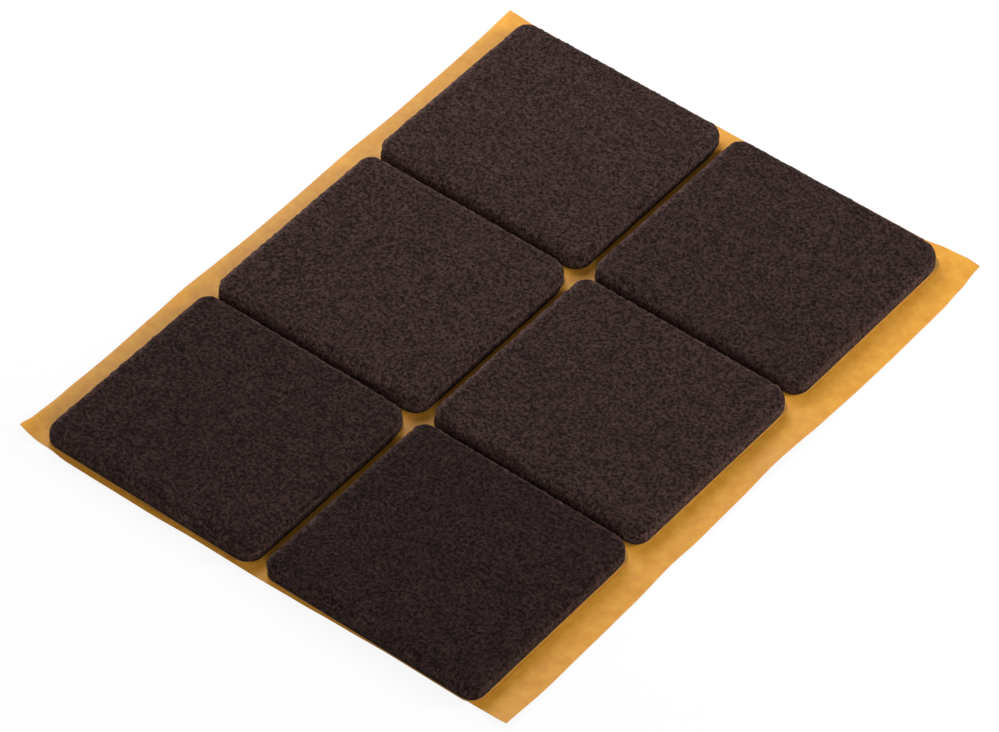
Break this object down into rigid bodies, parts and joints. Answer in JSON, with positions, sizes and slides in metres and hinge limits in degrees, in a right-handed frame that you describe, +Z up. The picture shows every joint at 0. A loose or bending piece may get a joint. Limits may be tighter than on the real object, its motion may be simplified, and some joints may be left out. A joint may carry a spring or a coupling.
{
  "type": "felt furniture pad sheet",
  "caption": "Flat sheet of self-adhesive dark-brown felt furniture pads with round corners, on tissue tape, in a grid on an amber release liner; each pad peels off to stick under a leg.",
  "frame": {"origin": "middle of the sheet's box, on its underside", "axes": "+X across the sheet from the left column to the right, +Y along it from the front row to the back, +Z up out of the felt"},
  "size_m": [0.0952, 0.1212, 0.0033],
  "materials": {
    "felt": "matt needle felt",
    "adhesive": "clear tacky coat",
    "tissue": "thin non-woven tissue",
    "liner_paper": "siliconised glassine, slight sheen"
  },
  "bodies": {
    "liner": {"release_liner": "liner_paper"},
    "pad_front_left": {"felt_pad_front_left": "felt", "felt_side_glue_front_left": "adhesive", "tissue_carrier_front_left": "tissue", "furniture_side_glue_front_left": "adhesive"},
    "pad_front_right": {"felt_pad_front_right": "felt", "felt_side_glue_front_right": "adhesive", "tissue_carrier_front_right": "tissue", "furniture_side_glue_front_right": "adhesive"},
    "pad_middle_left": {"felt_pad_middle_left": "felt", "felt_side_glue_middle_left": "adhesive", "tissue_carrier_middle_left": "tissue", "furniture_side_glue_middle_left": "adhesive"},
    "pad_middle_right": {"felt_pad_middle_right": "felt", "felt_side_glue_middle_right": "adhesive", "tissue_carrier_middle_right": "tissue", "furniture_side_glue_middle_right": "adhesive"},
    "pad_back_left": {"felt_pad_back_left": "felt", "felt_side_glue_back_left": "adhesive", "tissue_carrier_back_left": "tissue", "furniture_side_glue_back_left": "adhesive"},
    "pad_back_right": {"felt_pad_back_right": "felt", "felt_side_glue_back_right": "adhesive", "tissue_carrier_back_right": "tissue", "furniture_side_glue_back_right": "adhesive"}
  },
  "joints": [
    {"name": "peel_front_left", "type": "slide", "parent": "liner", "child": "pad_front_left", "axis": [0, 0, 1], "range_m": [0, 0.03]},
    {"name": "peel_front_right", "type": "slide", "parent": "liner", "child": "pad_front_right", "axis": [0, 0, 1], "range_m": [0, 0.03]},
    {"name": "peel_middle_left", "type": "slide", "parent": "liner", "child": "pad_middle_left", "axis": [0, 0, 1], "range_m": [0, 0.03]},
    {"name": "peel_middle_right", "type": "slide", "parent": "liner", "child": "pad_middle_right", "axis": [0, 0, 1], "range_m": [0, 0.03]},
    {"name": "peel_back_left", "type": "slide", "parent": "liner", "child": "pad_back_left", "axis": [0, 0, 1], "range_m": [0, 0.03]},
    {"name": "peel_back_right", "type": "slide", "parent": "liner", "child": "pad_back_right", "axis": [0, 0, 1], "range_m": [0, 0.03]}
  ]
}
